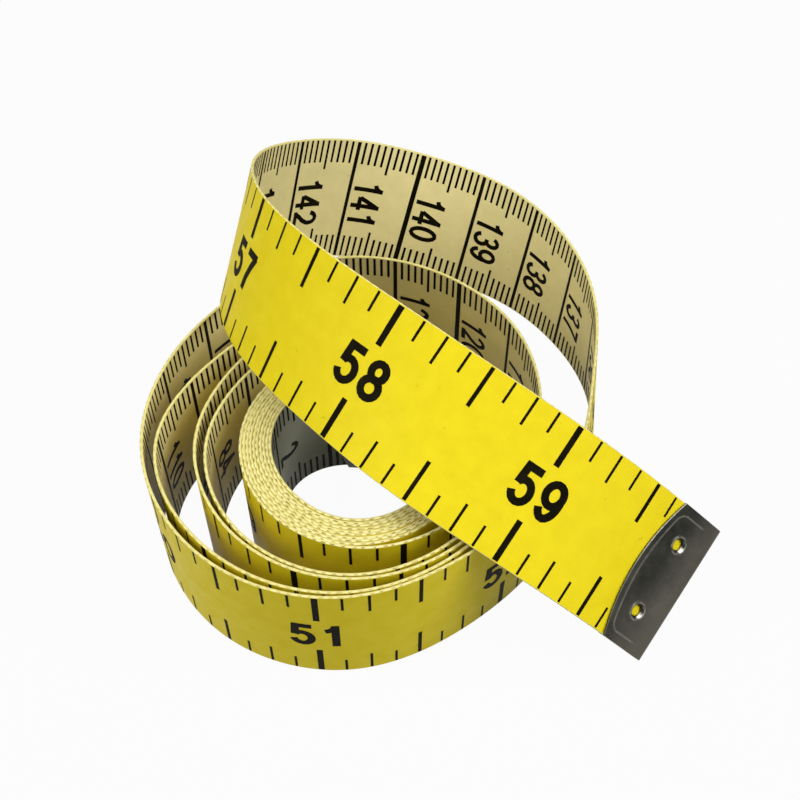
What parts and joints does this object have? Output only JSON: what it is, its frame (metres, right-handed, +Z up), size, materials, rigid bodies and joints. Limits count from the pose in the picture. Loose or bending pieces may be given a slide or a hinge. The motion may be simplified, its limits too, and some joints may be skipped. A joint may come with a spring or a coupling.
{
  "type": "cloth tape measure",
  "caption": "Soft cloth sewing tape measure, loosely coiled on its edge, with its free end sprung up over the coil and a folded metal clip on each end.",
  "frame": {"origin": "bottom centre of the whole object's box, on the table that the coil stands on", "axes": "+Z up out of the table, +X towards the side where the outer metal end hangs, +Y to the back, where the last turn climbs"},
  "size_m": [0.0728, 0.0764, 0.0391],
  "materials": {
    "coated_cloth": "smooth coated weave, printed on both faces",
    "end_metal": "dull, darkened, lightly worn"
  },
  "bodies": {
    "coil": {"tape_core": "coated_cloth", "tape_loose_turns": "coated_cloth", "tape_rising_turn": "coated_cloth", "zero_end_metal": "end_metal"},
    "free_end": {"tape_free_end": "coated_cloth", "outer_end_metal": "end_metal"}
  },
  "joints": [
    {"name": "free_end_flex", "type": "hinge", "parent": "coil", "child": "free_end", "pos_m": [-0.02126, 0.00086, 0.03041], "axis": [0.3688, 0.4082, 0.8351], "range_deg": [-60, 1], "stiffness_Nm_per_rad": 0.06, "springref_deg": -0.86}
  ]
}
